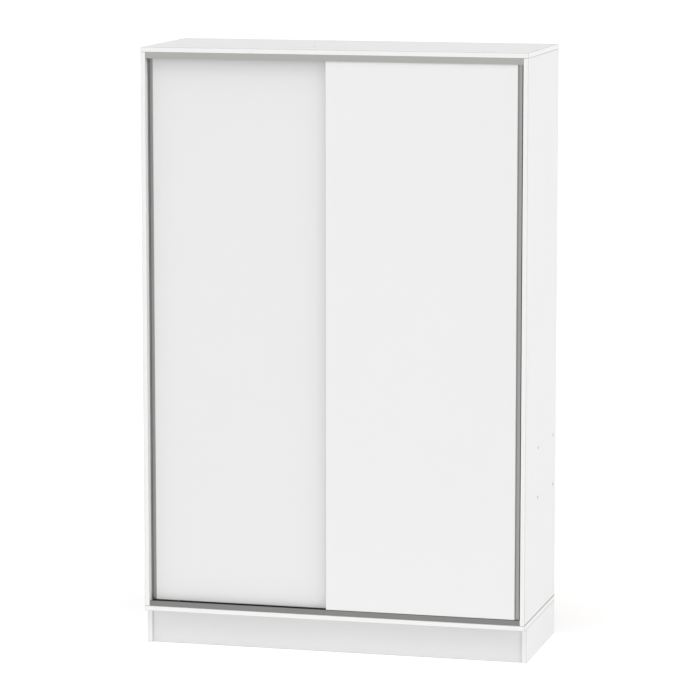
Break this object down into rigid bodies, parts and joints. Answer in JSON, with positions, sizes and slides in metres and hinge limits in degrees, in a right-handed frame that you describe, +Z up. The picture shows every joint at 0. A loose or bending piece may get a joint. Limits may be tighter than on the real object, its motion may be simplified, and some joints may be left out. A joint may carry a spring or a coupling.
{
  "type": "sliding door wardrobe",
  "caption": "Flat-pack board wardrobe with overlapping sliding doors on rollers, a shelved bay, a hanging bay with a rail, and a recessed plinth.",
  "frame": {"origin": "on the floor, under the middle of the carcass", "axes": "+X to the right along the front, +Y to the back, +Z up"},
  "size_m": [1.2, 0.47, 1.85],
  "materials": {
    "white_board": "white melamine-faced chipboard, satin, fine orange-peel texture",
    "door_board": "white melamine-faced chipboard, satin, fine orange-peel texture",
    "hardboard": "thin hardboard sheet, bare brown fibre outside, white lacquer on the inner face",
    "aluminium_profile": "satin anodised extrusion",
    "dark_profile": "satin anodised extrusion, a little darker than the upper one",
    "cap_plastic": "moulded light grey plastic",
    "white_plastic": "moulded white plastic",
    "grey_plastic": "moulded grey plastic",
    "nylon": "moulded black nylon",
    "rubber_stop": "moulded black rubber",
    "zinc_steel": "zinc-plated steel",
    "chrome_plate": "polished chrome plate",
    "beech": "bare turned beech"
  },
  "bodies": {
    "carcass": {"top_panel": "white_board", "bottom_panel": "white_board", "left_side": "white_board", "right_side": "white_board", "divider": "white_board", "fixed_shelf_lower": "white_board", "fixed_shelf_upper": "white_board", "left_shelf_1": "white_board", "left_shelf_2": "white_board", "left_shelf_3": "white_board", "left_shelf_4": "white_board", "plinth_left": "white_board", "plinth_right": "white_board", "plinth_front": "white_board", "plinth_back": "white_board", "plinth_cross": "white_board", "back_left": "hardboard", "back_right": "hardboard", "top_track": "aluminium_profile", "bottom_track": "dark_profile", "screw_caps": "cap_plastic", "plinth_corner_blocks": "white_plastic", "track_stops": "rubber_stop", "confirmat_screws": "zinc_steel", "track_screws": "zinc_steel", "rail_socket_screws": "zinc_steel", "back_nails": "zinc_steel", "shelf_pins": "zinc_steel", "hanging_rail": "chrome_plate", "rail_socket_left": "chrome_plate", "rail_socket_right": "chrome_plate", "dowels": "beech"},
    "left_door": {"left_door_panel": "door_board", "left_door_grip": "aluminium_profile", "left_door_roller_1": "grey_plastic", "left_door_roller_2": "grey_plastic", "left_door_guide_1": "white_plastic", "left_door_guide_2": "white_plastic", "left_door_axles": "zinc_steel", "left_door_screws": "zinc_steel"},
    "right_door": {"right_door_panel": "door_board", "right_door_grip": "aluminium_profile", "right_door_roller_1": "grey_plastic", "right_door_roller_2": "grey_plastic", "right_door_guide_1": "white_plastic", "right_door_guide_2": "white_plastic", "right_door_axles": "zinc_steel", "right_door_screws": "zinc_steel"},
    "left_door_wheel_1": {"left_door_wheel_1": "nylon"},
    "left_door_wheel_2": {"left_door_wheel_2": "nylon"},
    "right_door_wheel_1": {"right_door_wheel_1": "nylon"},
    "right_door_wheel_2": {"right_door_wheel_2": "nylon"}
  },
  "joints": [
    {"name": "left_door_slide", "type": "slide", "parent": "carcass", "child": "left_door", "axis": [1, 0, 0], "range_m": [0, 0.55]},
    {"name": "right_door_slide", "type": "slide", "parent": "carcass", "child": "right_door", "axis": [1, 0, 0], "range_m": [-0.55, 0]},
    {"name": "left_door_wheel_1_spin", "type": "hinge", "parent": "left_door", "child": "left_door_wheel_1", "pos_m": [-0.4995, -0.2055, 0.1333], "axis": [0, 1, 0], "continuous": true},
    {"name": "left_door_wheel_2_spin", "type": "hinge", "parent": "left_door", "child": "left_door_wheel_2", "pos_m": [-0.0495, -0.2055, 0.1333], "axis": [0, 1, 0], "continuous": true},
    {"name": "right_door_wheel_1_spin", "type": "hinge", "parent": "right_door", "child": "right_door_wheel_1", "pos_m": [0.0485, -0.2245, 0.1333], "axis": [0, 1, 0], "continuous": true},
    {"name": "right_door_wheel_2_spin", "type": "hinge", "parent": "right_door", "child": "right_door_wheel_2", "pos_m": [0.4985, -0.2245, 0.1333], "axis": [0, 1, 0], "continuous": true}
  ],
  "couplings": [
    {"joint": "left_door_wheel_1_spin", "follows": "left_door_slide", "rad_per_m": 90.909},
    {"joint": "left_door_wheel_2_spin", "follows": "left_door_slide", "rad_per_m": 90.909},
    {"joint": "right_door_wheel_1_spin", "follows": "right_door_slide", "rad_per_m": 90.909},
    {"joint": "right_door_wheel_2_spin", "follows": "right_door_slide", "rad_per_m": 90.909}
  ]
}
